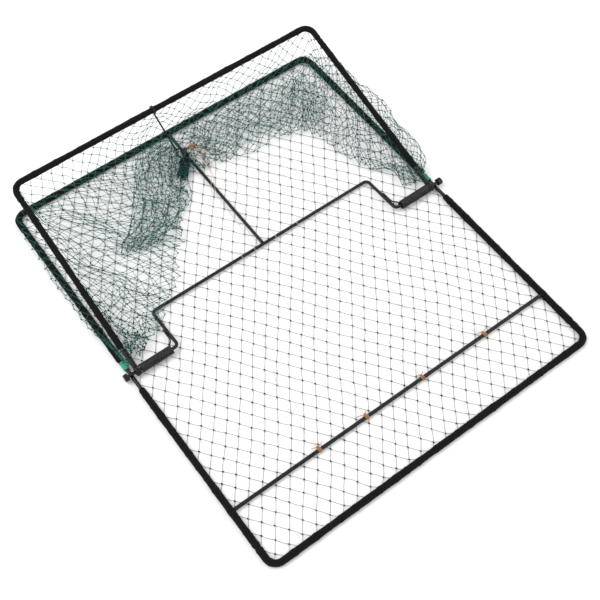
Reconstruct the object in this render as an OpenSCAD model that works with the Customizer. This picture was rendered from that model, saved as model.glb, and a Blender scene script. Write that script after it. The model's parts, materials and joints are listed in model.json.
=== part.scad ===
// Spring bow-net trap, shown set: a wire base with a flat net, and a sprung wire bow that
// lies back over the rear half, held by a hold-down rod and a small catch.
// Millimetres, +Z up. Origin: centre of the base rectangle on the ground, hinge line along X.

/* [Base] */
// Width of the base between the rod centre lines
base_w = 500; // [380:5:650]
// Length of the base between the rod centre lines
base_l = 608; // [460:4:760]
// Diameter of the frame rod
rod_d = 5; // [4:0.5:6]
// Bend radius of the frame corners, to the rod centre line
corner_r = 14; // [10:1:24]
// Outer diameter of the binding on the base rods
wrap_d = 8.6; // [7.5:0.1:10]
// Depth of the worn flat under the base binding
foot_flat = 0.2; // [0.1:0.05:0.4]
// Distance from the front bar to the cross bar
stop_y = 83.5; // [50:0.5:110]

/* [Bow] */
// Distance from the base's end bar to the bow's far bar when the bow is closed
bow_gap = 7; // [5.5:0.5:12]
// Side distance from the base rail to the bow leg, centre to centre
bow_inset = 8; // [7.8:0.1:10]
// Angle of the bow above the base when it is set
set_angle = 15.6; // [12:0.1:25]
// Outer diameter of the binding on the bow
bow_wrap_d = 8; // [7:0.1:9]

/* [Hinge] */
// Diameter of the yoke rod and its hinge ends
pin_d = 4.5; // [3.5:0.1:5]
// Distance from the hinge line to the yoke's middle bar
yoke_y = 64; // [45:1:90]
// Half the width of the yoke, to the arm centre line
yoke_half = 179.5; // [120:0.5:190]
// Bend radius of the yoke, to the rod centre line
yoke_r = 6; // [5:0.5:9]
// Outer diameter of the coil springs
spring_d = 12.6; // [11:0.1:13]
// Diameter of the spring wire
wire_d = 2.2; // [1.8:0.1:2.5]
// Length of each spring leg
leg_l = 32; // [24:1:45]

/* [Catch] */
// Diameter of the hold-down rod
hold_d = 2.4; // [2:0.1:3]
// Sideways place of the hold-down rod's eye on the bow
hold_x = -24.6; // [-60:0.1:-20]
// Distance of the catch pivot from the base's back bar
catch_back = 46; // [38:1:60]
// Diameter of the catch lever
catch_d = 2.6; // [2:0.1:3]
// Height of the catch pivot over the centre rod
catch_h = 7.4; // [6.5:0.1:9]

/* [Nets and lines] */
// Thickness that stands for the taut base net
net_t = 0.7; // [0.4:0.1:0.8]
// Height of the base net's underside
net_z = 0.5; // [0.3:0.1:0.6]
// Thickness of the slack net sheets
bag_t = 1.4; // [1:0.1:2]
// Diameter of the trip lines
line_d = 0.5; // [0.3:0.1:0.8]

/* [Fits] */
// Radial running clearance of every pivot
run_gap = 0.05; // [0.02:0.01:0.1]
// Gap between pieces that lie side by side
side_gap = 0.1; // [0.05:0.05:0.3]
// Gap between pieces that move past each other
move_gap = 0.4; // [0.3:0.1:0.8]
// Depth that a welded rod melts into its neighbour
weld = 0.3; // [0.1:0.1:0.6]

/* [Hidden] */
$fn = 48;

half_w = base_w / 2;
half_l = base_l / 2;
rod_z = wrap_d / 2 - foot_flat;
pin_z = rod_z + rod_d / 2 + pin_d / 2 - weld;
bow_half = half_w - bow_inset;
bow_l = half_l - bow_gap;
yoke_tilt = atan2(pin_z - rod_z, yoke_y);
yoke_run = norm([yoke_y, pin_z - rod_z]);
cross_y = -half_l + stop_y;
corner_wrap = corner_r + 16;
bare_front = 22;
bare_back = 26;
lashing_y = 11;
lashing_l = 14;
lashing_d = wrap_d + 0.8;
collar_l = 6;
collar_d = 10;
collar_x = half_w + rod_d / 2 + 2;
eye_r = pin_d / 2 + run_gap;
eye_off = rod_d / 2 - 0.5;
leg_x = bow_half - rod_d / 2 - wire_d / 2 - side_gap / 2;
coil_r = (spring_d - wire_d) / 2;
coil_start = yoke_half + yoke_r + 0.5;
coil_end = leg_x - wire_d / 2 - move_gap;
coil_l = coil_end - coil_start;
coil_turns = floor(coil_l / wire_d);
coil_pitch = coil_l / coil_turns;
catch_y = half_l - catch_back;
catch_z = rod_z + catch_h;
finger_x = -4.5;
finger_h = 7.9;
finger_back = 5.5;
stub_end = 17;
toe_z = catch_z + finger_h - catch_d / 2 - move_gap - hold_d / 2;
toe_y = catch_y + catch_d / 2 + move_gap + hold_d / 2 + 0.4;
toe_end = finger_x - catch_d / 2 - move_gap;
toe_l = 5;
hold_eye_r = bow_wrap_d / 2 + run_gap;
far_y = bow_l * cos(set_angle);
far_z = pin_z + bow_l * sin(set_angle);
net_top = net_z + net_t;
line_z = net_top + line_d / 2 + side_gap;
over_rod = rod_z + pin_d / 2 + line_d / 2 + side_gap;
knot_x = [-120, -47, 43, 147];
tie_l = 5;
tie_d = rod_d + 2.4;
tie_up = 0.9;
line_start = [17, 244, 8];
saddle_half = 6;
saddle_wall = 1.7;
ear_t = 3;
ear_r = catch_d / 2 + 1.9;
ring_l = 1.2;
whip_start = 4;
hang_out = 12;
over_rail = wrap_d / 2 + bag_t / 2 + 2.5;
net_back = half_l - 11;

// Routes of the trip lines, from the catch to the four ties on the cross bar
route_1 = [[15.4, 241, 7], [16, 232, 3], [13, 214, line_z], [7, 200, 4.6], [2, 193, over_rod],
  [-2, 187, over_rod], [-7, 180, 4], [-17, 168, line_z], [-30, 152, line_z],
  [-39, 136, line_z], [-46, 118, line_z],
  [-52, 100, line_z], [-49, 88, line_z], [-42, 78, 3], [-36, 64, over_rod], [-38, 52, 3],
  [-44, 36, line_z], [-52, 10, line_z], [-60, -14, line_z], [-75, -38, line_z],
  [-90, -66, line_z], [-101, -96, line_z], [-112, -130, line_z], [-118, -160, line_z],
  [-120, -190, line_z], [-121, -208, 2.5], [-120, -214, 4]];
route_2 = [[16.4, 240, 7], [18, 230, 3], [14, 212, line_z], [8, 197, 4.4], [2, 187, over_rod],
  [-2, 177, over_rod], [-5, 166, 4.6], [-6, 152, 2.5], [-7, 136, line_z],
  [-8, 112, line_z], [-10, 90, line_z],
  [-13, 76, 3], [-15, 64, over_rod], [-16, 52, 3], [-17, 36, line_z], [-24, 8, line_z],
  [-28, -24, line_z], [-30, -58, line_z], [-34, -94, line_z], [-39, -132, line_z],
  [-43, -170, line_z], [-46, -200, line_z], [-47, -209, 2.5], [-47, -214, 4]];
route_3 = [[17.4, 240, 7], [20, 230, 3], [21, 212, line_z], [20, 192, line_z],
  [15, 170, line_z], [14, 146, line_z], [14, 122, line_z], [20, 102, line_z],
  [22, 86, line_z], [21, 76, 3], [20, 64, over_rod], [18, 52, 3], [13, 32, line_z],
  [8, 4, line_z], [5, -26, line_z], [3, -54, line_z], [8, -78, line_z], [25, -96, line_z],
  [36, -114, line_z], [41, -140, line_z], [42, -170, line_z], [42, -200, line_z],
  [43, -209, 2.5], [43, -214, 4]];
route_4 = [[18.6, 241, 7], [24, 238, 3], [34, 233, line_z], [45, 222, line_z],
  [57, 204, line_z], [74, 192, line_z], [94, 184, line_z], [108, 173, line_z],
  [115, 160, line_z], [114, 147, line_z], [107, 139, line_z], [97, 140, line_z],
  [86, 148, line_z], [76, 160, line_z], [66, 172, line_z], [57, 172, line_z],
  [50, 156, line_z], [47, 130, line_z], [50, 104, line_z], [54, 78, 3],
  [56, 64, over_rod], [57, 50, 3], [58, 24, line_z], [63, -16, line_z], [70, -60, line_z],
  [84, -108, line_z], [104, -152, line_z], [128, -190, line_z], [143, -209, 2.5],
  [147, -214, 4]];
cord_route = [[15, 256, 14.4], [16, 253.6, 15], [17, 251, 13.6], [17.2, 248.6, 11], [17, 246, 9.4]];

// Edges of the slack net over the rear half, as shares of the half width and half length
left_edge = [[-0.168, 0.6118], [-0.304, 0.4836], [-0.424, 0.3553], [-0.524, 0.2368], [-0.64, 0.1875],
  [-0.736, 0.1053], [-0.824, 0.0954], [-0.912, 0.0888], [-0.972, 0.1086], [-1.048, 0.1842]];
right_edge = [[0.24, 0.6776], [0.408, 0.6579], [0.564, 0.6184], [0.66, 0.6053], [0.696, 0.4605],
  [0.736, 0.3487], [0.78, 0.2566], [0.848, 0.1645], [0.904, 0.102], [0.972, 0.1086], [1.048, 0.1842]];
function over_half(shares) = [for (p = shares) [p.x * half_w, p.y * half_l]];
left_outline = concat([[-18, net_back], [-18, catch_y + 6], [-37, catch_y - 6], [-37, catch_y - 58]],
  over_half(left_edge), [[-half_w - hang_out, net_back]]);
right_outline = concat([[34, net_back], [34, catch_y - 50]], over_half(right_edge),
  [[half_w + hang_out, net_back]]);

// Folds of the slack net, as a share of the half width and a height over the rods
left_waves = [[-0.928, 5.5], [-0.824, 8.9], [-0.72, 9.4], [-0.64, 5.5], [-0.5, 4.5], [-0.4, 0.3],
  [-0.3, 6.9], [-0.2, 0.3], [-0.12, 4.9], [-0.064, 0.5]];
right_waves = [[0.128, 4.9], [0.2, 4.5], [0.28, 0.9], [0.38, 7.9], [0.5, 0.9], [0.62, 9.9],
  [0.74, 1.9], [0.84, 8.9], [0.928, 5.5]];
function waves(shares) = [for (p = shares) [p.x * half_w, p.y]];
left_folds = concat([[-half_w - hang_out, 1.9], [-half_w - 6, over_rail], [-half_w + 4, over_rail]],
  waves(left_waves));
right_folds = concat(waves(right_waves),
  [[half_w - 4, over_rail], [half_w + 6, over_rail], [half_w + hang_out, 1.9]]);

function rings_around(points, d, sides) = [
  for (i = [0:len(points) - 1])
    let (
      ahead = points[min(i + 1, len(points) - 1)],
      behind = points[max(i - 1, 0)],
      along = (ahead - behind) / norm(ahead - behind),
      side = cross(along, [0, 0, 1]) / norm(cross(along, [0, 0, 1])),
      up = cross(side, along)
    )
    for (k = [0:sides - 1])
      points[i] + d / 2 * (cos(360 * k / sides) * side + sin(360 * k / sides) * up)
];

// A tube swept along a list of points
module swept_cord(points, d, sides = 8) {
  last = (len(points) - 1) * sides;
  walls = [
    for (i = [0:len(points) - 2])
      for (k = [0:sides - 1])
        let (a = i * sides + k, b = i * sides + (k + 1) % sides)
        each [[a, b, b + sides], [a, b + sides, a + sides]]
  ];
  start_cap = [for (k = [1:sides - 2]) [0, k + 1, k]];
  end_cap = [for (k = [1:sides - 2]) [last, last + k, last + k + 1]];
  polyhedron(rings_around(points, d, sides), concat(walls, start_cap, end_cap));
}

// A round rod from one point to another
module rod_between(a, b, d) {
  run = b - a;
  translate(a)
    rotate([0, acos(run.z / norm(run)), atan2(run.y, run.x)])
      cylinder(d = d, h = norm(run));
}

// A straight tube along X or Y, solid when bore is 0
module bar_x(x0, x1, d, bore = 0) {
  translate([x0, 0, 0]) rotate([0, 90, 0]) difference() {
    cylinder(d = d, h = x1 - x0);
    if (bore > 0) translate([0, 0, -1]) cylinder(d = bore, h = x1 - x0 + 2);
  }
}

module bar_y(y0, y1, d, bore = 0) {
  translate([0, y1, 0]) rotate([90, 0, 0]) difference() {
    cylinder(d = d, h = y1 - y0);
    if (bore > 0) translate([0, 0, -1]) cylinder(d = bore, h = y1 - y0 + 2);
  }
}

// A quarter bend in the XY plane, centred on the origin
module bend(r, d, bore = 0, from = 0) {
  rotate([0, 0, from]) rotate_extrude(angle = 90) translate([r, 0]) difference() {
    circle(d = d);
    if (bore > 0) circle(d = bore);
  }
}

// The U of a base end: its bar, two corners and two short returns
module base_end(back, reach, d, bore = 0) {
  mirror([0, back ? 0 : 1, 0]) {
    translate([0, half_l, 0]) bar_x(-half_w + corner_r, half_w - corner_r, d, bore);
    for (s = [0, 1])
      mirror([s, 0, 0]) {
        translate([half_w - corner_r, half_l - corner_r, 0]) bend(corner_r, d, bore);
        translate([half_w, 0, 0]) bar_y(half_l - reach, half_l - corner_r, d, bore);
      }
  }
}

// Cuts its children off level at a height
module above(height) {
  difference() {
    children();
    translate([-base_w, -base_l, height - 10]) cube([2 * base_w, 2 * base_l, 10]);
  }
}

module base_frame() {
  color("#1c1c1e") translate([0, 0, rod_z]) {
    base_end(false, half_l, rod_d);
    base_end(true, half_l, rod_d);
  }
}

module cross_bar() {
  reach = half_w - rod_d / 2 + weld;
  color("#151517") translate([0, cross_y, rod_z]) bar_x(-reach, reach, rod_d);
}

module centre_rod() {
  color("#151517") translate([0, 0, rod_z])
    bar_y(yoke_y + pin_d / 2 - weld, half_l - rod_d / 2 + weld, pin_d);
}

module yoke() {
  color("#17171a") translate([0, 0, pin_z]) rotate([-yoke_tilt, 0, 0]) {
    translate([0, yoke_run, 0]) bar_x(-yoke_half + yoke_r, yoke_half - yoke_r, pin_d);
    for (s = [0, 1])
      mirror([s, 0, 0]) {
        translate([yoke_half - yoke_r, yoke_run - yoke_r, 0]) bend(yoke_r, pin_d);
        translate([yoke_half, 0, 0]) bar_y(yoke_r, yoke_run - yoke_r, pin_d);
        translate([yoke_half + yoke_r, yoke_r, 0]) bend(yoke_r, pin_d, 0, 180);
        bar_x(yoke_half + yoke_r, collar_x + collar_l, pin_d);
      }
  }
}

module end_collar() {
  translate([0, 0, pin_z]) bar_x(collar_x, collar_x + collar_l, collar_d, pin_d);
}
module left_end_collar() { color("#202022") mirror([1, 0, 0]) end_collar(); }
module right_end_collar() { color("#202022") end_collar(); }

module end_binding(back) {
  above(0) difference() {
    translate([0, 0, rod_z]) base_end(back, corner_wrap, wrap_d, rod_d);
    if (back) centre_rod();
  }
}
module front_binding() { color("#0f0f10") end_binding(false); }
module back_binding() { color("#0f0f10") end_binding(true); }

module side_binding(y0, y1) {
  above(0) difference() {
    translate([half_w, 0, rod_z]) bar_y(y0, y1, wrap_d, rod_d);
    cross_bar();
  }
}
module front_side() { side_binding(-half_l + corner_wrap, -bare_front); }
module back_side() { side_binding(bare_back, half_l - corner_wrap); }
module left_front_binding() { color("#0f0f10") mirror([1, 0, 0]) front_side(); }
module right_front_binding() { color("#0f0f10") front_side(); }
module left_back_binding() { color("#0f0f10") mirror([1, 0, 0]) back_side(); }
module right_back_binding() { color("#0f0f10") back_side(); }

// Closed coils on the hinge end, and the tail that lies against the yoke's arm
module spring() {
  tail_x = yoke_half + pin_d / 2 + wire_d / 2 + side_gap;
  crest = spring_d / 2;
  valley = crest - wire_d / 4;
  ridges = [
    for (i = [0:coil_turns - 1])
      each [[valley, i * coil_pitch], [crest, (i + 0.3) * coil_pitch], [crest, (i + 0.7) * coil_pitch]]
  ];
  bore = crest - wire_d;
  profile = concat(ridges, [[valley, coil_l], [bore, coil_l], [bore, 0]]);
  translate([0, 0, pin_z]) {
    translate([coil_start, 0, 0]) rotate([0, 90, 0]) rotate_extrude() polygon(profile);
    rotate([-yoke_tilt, 0, 0]) {
      root = [coil_start + wire_d / 2 + 0.2, coil_r, 0];
      elbow = [tail_x, coil_r + 8, 0];
      rod_between(root, elbow, wire_d);
      translate(elbow) sphere(d = wire_d);
      rod_between(elbow, [tail_x, leg_l, 0], wire_d);
    }
  }
}
module left_spring() { color("#2a2a2d") mirror([1, 0, 0]) spring(); }
module right_spring() { color("#2a2a2d") spring(); }

module lashing() {
  translate([half_w, 0, rod_z]) bar_y(lashing_y, lashing_y + lashing_l, lashing_d - 1, rod_d);
}
module left_lashing() { color("#28b48c") mirror([1, 0, 0]) lashing(); }
module right_lashing() { color("#28b48c") lashing(); }

module base_net() {
  color("#5b6f6a", 0.6) translate([-half_w, -half_l, net_z]) cube([base_w, base_l, net_t]);
}

// A slack sheet with folds along Y, cut to the outline it covers
module slack_sheet(folds, outline) {
  top = [for (p = folds) [p.x, rod_z + p.y + bag_t / 2]];
  under = [for (i = [len(folds) - 1:-1:0]) [folds[i].x, rod_z + folds[i].y - bag_t / 2]];
  intersection() {
    translate([0, half_l, 0]) rotate([90, 0, 0]) linear_extrude(half_l) polygon(concat(top, under));
    linear_extrude(40) polygon(outline);
  }
}
module left_bag_net() { color("#3a6e64", 0.7) slack_sheet(left_folds, left_outline); }
module right_bag_net() { color("#3a6e64", 0.7) slack_sheet(right_folds, right_outline); }

// The wall of net between the base's back bar and the bow's far bar
module back_bag_net() {
  reach = bow_half - corner_r;
  foot = [half_l - 3, rod_z + wrap_d / 2 - 0.4];
  head = [far_y + bow_wrap_d / 2 - 1, far_z - bow_wrap_d / 2 - hold_d - 4];
  slack = [(foot.x + head.x) / 2 + 4, (foot.y + head.y) / 2];
  line = [foot, slack, head];
  outer = [for (p = line) [p.x + bag_t / 2, p.y]];
  inner = [for (i = [2:-1:0]) [line[i].x - bag_t / 2, line[i].y]];
  color("#3a6e64", 0.7) translate([-reach, 0, 0]) rotate([90, 0, 90])
    linear_extrude(2 * reach) polygon(concat(outer, inner));
}

// The bunched end of the slack net beside the catch, tapered at both ends
module gathered_net() {
  bunch_d = 11;
  bunch_l = 24;
  taper = 6;
  color("#16302b") translate([-26, catch_y - 32, rod_z + 3.1]) rotate([-90, 0, -48]) {
    cylinder(d1 = bunch_d / 2, d2 = bunch_d, h = taper);
    translate([0, 0, taper]) cylinder(d = bunch_d, h = bunch_l - 2 * taper);
    translate([0, 0, bunch_l - taper]) cylinder(d1 = bunch_d, d2 = bunch_d / 2, h = taper);
  }
}

// A sleeve on the centre rod with an ear that carries the catch lever
module catch_saddle() {
  color("#2b2622") above(net_top + side_gap) difference() {
    union() {
      translate([0, 0, rod_z])
        bar_y(catch_y - saddle_half, catch_y + saddle_half, pin_d + 2 * saddle_wall);
      translate([-ear_t / 2, catch_y - ear_r, rod_z]) cube([ear_t, 2 * ear_r, catch_h]);
      translate([0, catch_y, catch_z]) bar_x(-ear_t / 2, ear_t / 2, 2 * ear_r);
    }
    translate([0, 0, rod_z]) bar_y(catch_y - saddle_half - 1, catch_y + saddle_half + 1, pin_d);
    translate([0, catch_y, catch_z]) bar_x(-ear_t, ear_t, catch_d + 2 * run_gap);
  }
}

// Pin, two stop rings, the wound stub and the finger with its hook
module catch_lever() {
  top = [finger_x, 0, finger_h];
  color("#3a3a3c") translate([0, catch_y, catch_z]) {
    bar_x(finger_x, stub_end, catch_d);
    bar_x(-ear_t / 2 - move_gap - ring_l, -ear_t / 2 - move_gap, catch_d + 2);
    bar_x(ear_t / 2 + move_gap, ear_t / 2 + move_gap + ring_l, catch_d + 2);
    translate([finger_x, 0, 0]) sphere(d = catch_d);
    rod_between([finger_x, 0, 0], top, catch_d);
    translate(top) sphere(d = catch_d);
    rod_between(top, top + [0, finger_back, 0], catch_d);
  }
}

module catch_whipping() {
  color("#c8702a") translate([0, catch_y, catch_z]) {
    bar_x(whip_start, stub_end - 2, catch_d + 2.4, catch_d);
    translate([stub_end - 1, 0, 0]) difference() {
      sphere(d = catch_d + 4);
      bar_x(-6, 6, catch_d);
    }
  }
}

module trip_cord() { color("#c8702a") swept_cord(cord_route, 1.1); }

module line_knot() {
  color("#c8702a") difference() {
    translate(line_start) sphere(d = 4);
    trip_cord();
    for (route = [route_1, route_2, route_3, route_4]) swept_cord(route, line_d);
  }
}

module line_tie(i) {
  color("#c46a2c") above(net_top + side_gap) translate([knot_x[i], cross_y, rod_z]) difference() {
    union() {
      bar_x(-tie_l / 2, tie_l / 2, tie_d);
      translate([0, tie_d / 2, tie_up]) sphere(d = 3.4);
    }
    bar_x(-tie_l, tie_l, rod_d);
  }
}
module line_tie_1() { line_tie(0); }
module line_tie_2() { line_tie(1); }
module line_tie_3() { line_tie(2); }
module line_tie_4() { line_tie(3); }
module trip_line_1() { color("#d9b8b0") swept_cord(route_1, line_d); }
module trip_line_2() { color("#d9b8b0") swept_cord(route_2, line_d); }
module trip_line_3() { color("#d9b8b0") swept_cord(route_3, line_d); }
module trip_line_4() { color("#d9b8b0") swept_cord(route_4, line_d); }

// Places its children on the hinge line, lying back at the set angle
module on_bow() {
  translate([0, 0, pin_z]) rotate([set_angle, 0, 0]) children();
}

module bow_eye() {
  rotate([0, 90, 0]) rotate_extrude() difference() {
    translate([eye_r + eye_off, 0]) circle(d = rod_d);
    translate([0, -rod_d]) square([eye_r, 2 * rod_d]);
  }
}

module bow_frame() {
  color("#1c1c1e") on_bow() {
    translate([0, bow_l, 0]) bar_x(-bow_half + corner_r, bow_half - corner_r, rod_d);
    for (s = [0, 1])
      mirror([s, 0, 0]) {
        translate([bow_half - corner_r, bow_l - corner_r, 0]) bend(corner_r, rod_d);
        translate([bow_half, 0, 0]) bar_y(eye_r + eye_off, bow_l - corner_r, rod_d);
        translate([bow_half, 0, 0]) bow_eye();
      }
  }
}

module bow_side_binding() {
  on_bow() translate([bow_half, 0, 0])
    bar_y(leg_l + 4, bow_l - corner_r - 12, bow_wrap_d, rod_d);
}
module left_bow_binding() { color("#0f0f10") mirror([1, 0, 0]) bow_side_binding(); }
module right_bow_binding() { color("#0f0f10") bow_side_binding(); }

module far_bow_binding() {
  color("#0f0f10") on_bow() {
    translate([0, bow_l, 0]) bar_x(-bow_half + corner_r, bow_half - corner_r, bow_wrap_d, rod_d);
    for (s = [0, 1])
      mirror([s, 0, 0]) {
        translate([bow_half - corner_r, bow_l - corner_r, 0]) bend(corner_r, bow_wrap_d, rod_d);
        translate([bow_half, 0, 0]) bar_y(bow_l - corner_r - 12, bow_l - corner_r, bow_wrap_d, rod_d);
      }
  }
}

// The spring's outer leg: a last turn round the pin, a run along the bow and a hook over it
module spring_leg() {
  hook_r = bow_half - leg_x;
  on_bow() {
    translate([leg_x, 0, 0]) rotate([0, 90, 0]) rotate([0, 0, 90])
      rotate_extrude(angle = 270) translate([coil_r, 0]) circle(d = wire_d);
    translate([leg_x, 0, 0]) bar_y(coil_r, leg_l, wire_d);
    translate([bow_half, leg_l, 0]) rotate([90, 0, 0]) rotate([0, 0, 20])
      rotate_extrude(angle = 160) translate([hook_r, 0]) circle(d = wire_d);
  }
}
module left_spring_leg() { color("#2a2a2d") mirror([1, 0, 0]) spring_leg(); }
module right_spring_leg() { color("#2a2a2d") spring_leg(); }

// An eye round the bow's far bar, a straight shank and a short toe beside the catch's finger
module hold_down_rod() {
  toe = [toe_end - toe_l, toe_y, toe_z];
  eye = [hold_x, far_y, far_z];
  drop = [0, toe.y - far_y, toe.z - far_z];
  root = eye + drop / norm(drop) * (hold_eye_r + hold_d / 2);
  eye_w = hold_d + 0.6;
  color("#232325") {
    translate(eye) bar_x(-eye_w / 2, eye_w / 2, 2 * (hold_eye_r + hold_d), 2 * hold_eye_r);
    rod_between(root, toe, hold_d);
    translate(toe) sphere(d = hold_d + 0.4);
    translate([0, toe_y, toe_z]) bar_x(toe.x, toe_end, hold_d);
  }
}

base_frame();
cross_bar();
centre_rod();
yoke();
left_end_collar();
right_end_collar();
front_binding();
back_binding();
left_front_binding();
right_front_binding();
left_back_binding();
right_back_binding();
left_spring();
right_spring();
left_lashing();
right_lashing();
base_net();
left_bag_net();
right_bag_net();
back_bag_net();
gathered_net();
catch_saddle();
line_knot();
line_tie_1();
line_tie_2();
line_tie_3();
line_tie_4();
trip_line_1();
trip_line_2();
trip_line_3();
trip_line_4();
trip_cord();
bow_frame();
left_bow_binding();
right_bow_binding();
far_bow_binding();
left_spring_leg();
right_spring_leg();
hold_down_rod();
catch_lever();
catch_whipping();
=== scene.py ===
# %% [markdown]
# # A spring bow-net trap, shown set
# The engineering model gives the rods, the hinge and the catch at their real size.
# This script adds what such a model can't hold: knotted net, cord bindings, wound springs,
# twine, nylon line, and the finish of every surface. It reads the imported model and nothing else.

# %% Load the model and measure it
import json
import math
import bpy
import numpy as np
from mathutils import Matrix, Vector


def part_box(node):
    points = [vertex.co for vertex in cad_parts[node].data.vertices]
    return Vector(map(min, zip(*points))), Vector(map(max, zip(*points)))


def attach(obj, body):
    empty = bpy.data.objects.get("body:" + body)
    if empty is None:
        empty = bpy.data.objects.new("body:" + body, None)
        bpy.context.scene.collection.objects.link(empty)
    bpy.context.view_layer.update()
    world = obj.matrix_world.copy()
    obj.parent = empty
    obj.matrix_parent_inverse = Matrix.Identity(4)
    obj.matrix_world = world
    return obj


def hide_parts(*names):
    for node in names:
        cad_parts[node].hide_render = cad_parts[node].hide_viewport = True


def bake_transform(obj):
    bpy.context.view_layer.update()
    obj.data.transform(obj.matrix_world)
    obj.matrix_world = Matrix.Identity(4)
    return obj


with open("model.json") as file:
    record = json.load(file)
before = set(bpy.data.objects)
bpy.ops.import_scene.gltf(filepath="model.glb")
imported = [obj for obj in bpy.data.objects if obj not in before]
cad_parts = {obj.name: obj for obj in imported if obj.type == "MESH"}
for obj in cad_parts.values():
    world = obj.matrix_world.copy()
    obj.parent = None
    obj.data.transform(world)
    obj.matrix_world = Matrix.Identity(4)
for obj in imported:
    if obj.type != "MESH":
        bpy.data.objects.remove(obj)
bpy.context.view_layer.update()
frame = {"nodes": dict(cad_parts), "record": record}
MM = 0.001
rng = np.random.default_rng(7)

# %% [markdown]
# The camera stands at the viewer's place, looking down at the trap from its front left corner.
# Its aim is a point on the ground near the middle of the base, so the place follows from an
# azimuth, an elevation and a distance.

# %% Camera
frame_lo, frame_hi = (np.array(c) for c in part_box("base_frame"))
rod_d = frame_hi[2] - frame_lo[2]
rod_z = (frame_hi[2] + frame_lo[2]) / 2
half_w = (frame_hi[0] - frame_lo[0]) / 2 - rod_d / 2
half_l = (frame_hi[1] - frame_lo[1]) / 2 - rod_d / 2
azimuth, elevation, distance = math.radians(36.61), math.radians(59.51), 1.3694
target = Vector((-0.0130, -0.0369, rod_z))
forward = Vector((
    math.sin(azimuth) * math.cos(elevation),
    math.cos(azimuth) * math.cos(elevation),
    -math.sin(elevation),
))
camera = bpy.data.objects.new("camera", bpy.data.cameras.new("camera"))
bpy.context.scene.collection.objects.link(camera)
camera.location = target - forward * distance
camera.rotation_euler = forward.to_track_quat("-Z", "Y").to_euler()
camera.data.lens = 62.4
camera.data.sensor_width = 36
bpy.context.scene.camera = camera
print("camera", np.round(camera.location, 3).tolist())

# %% [markdown]
# Four nylon trip lines lie slack on the net, from the catch to the cross bar. Each is a thin
# tube swept along a rounded path through the same points as in the engineering model.

# %% Trip lines
LINE_D = 0.5 * MM
line_z = 1.55
over_rod = 6.7
ROUTES = {
    "trip_line_1": [
        (15.4, 241, 7), (16, 232, 3), (13, 214, line_z), (7, 200, 4.6), (2, 193, over_rod),
        (-2, 187, over_rod), (-7, 180, 4), (-17, 168, line_z), (-30, 152, line_z), (-39, 136, line_z),
        (-46, 118, line_z), (-52, 100, line_z), (-49, 88, line_z), (-42, 78, 3),
        (-36, 64, over_rod), (-38, 52, 3), (-44, 36, line_z), (-52, 10, line_z),
        (-60, -14, line_z), (-75, -38, line_z), (-90, -66, line_z), (-101, -96, line_z),
        (-112, -130, line_z), (-118, -160, line_z), (-120, -190, line_z), (-121, -208, 2.5),
        (-120, -214, 4)],
    "trip_line_2": [
        (16.4, 240, 7), (18, 230, 3), (14, 212, line_z), (8, 197, 4.4), (2, 187, over_rod),
        (-2, 177, over_rod), (-5, 166, 4.6), (-6, 152, 2.5), (-7, 136, line_z), (-8, 112, line_z),
        (-10, 90, line_z),
        (-13, 76, 3), (-15, 64, over_rod), (-16, 52, 3), (-17, 36, line_z), (-24, 8, line_z),
        (-28, -24, line_z), (-30, -58, line_z), (-34, -94, line_z), (-39, -132, line_z),
        (-43, -170, line_z), (-46, -200, line_z), (-47, -209, 2.5), (-47, -214, 4)],
    "trip_line_3": [
        (17.4, 240, 7), (20, 230, 3), (21, 212, line_z), (20, 192, line_z), (15, 170, line_z),
        (14, 146, line_z), (14, 122, line_z), (20, 102, line_z), (22, 86, line_z), (21, 76, 3),
        (20, 64, over_rod), (18, 52, 3), (13, 32, line_z), (8, 4, line_z), (5, -26, line_z),
        (3, -54, line_z), (8, -78, line_z), (25, -96, line_z), (36, -114, line_z),
        (41, -140, line_z), (42, -170, line_z), (42, -200, line_z), (43, -209, 2.5),
        (43, -214, 4)],
    "trip_line_4": [
        (18.6, 241, 7), (24, 238, 3), (34, 233, line_z), (45, 222, line_z), (57, 204, line_z),
        (74, 192, line_z), (94, 184, line_z), (108, 173, line_z), (115, 160, line_z),
        (114, 147, line_z), (107, 139, line_z), (97, 140, line_z), (86, 148, line_z),
        (76, 160, line_z), (66, 172, line_z), (57, 172, line_z), (50, 156, line_z),
        (47, 130, line_z), (50, 104, line_z), (54, 78, 3), (56, 64, over_rod), (57, 50, 3),
        (58, 24, line_z), (63, -16, line_z), (70, -60, line_z), (84, -108, line_z),
        (104, -152, line_z), (128, -190, line_z), (143, -209, 2.5), (147, -214, 4)],
}


def smooth_path(points, steps=8):
    """A rounded path through control points, by the Catmull-Rom rule."""
    p = np.asarray(points, float)
    p = np.vstack([2 * p[0] - p[1], p, 2 * p[-1] - p[-2]])
    out = []
    for a, b, c, d in zip(p[:-3], p[1:-2], p[2:-1], p[3:]):
        for t in np.linspace(0, 1, steps, endpoint=False):
            out.append(0.5 * (2 * b + (c - a) * t + (2 * a - 5 * b + 4 * c - d) * t**2
                              + (3 * b - a - 3 * c + d) * t**3))
    out.append(p[-2])
    return np.array(out)


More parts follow.
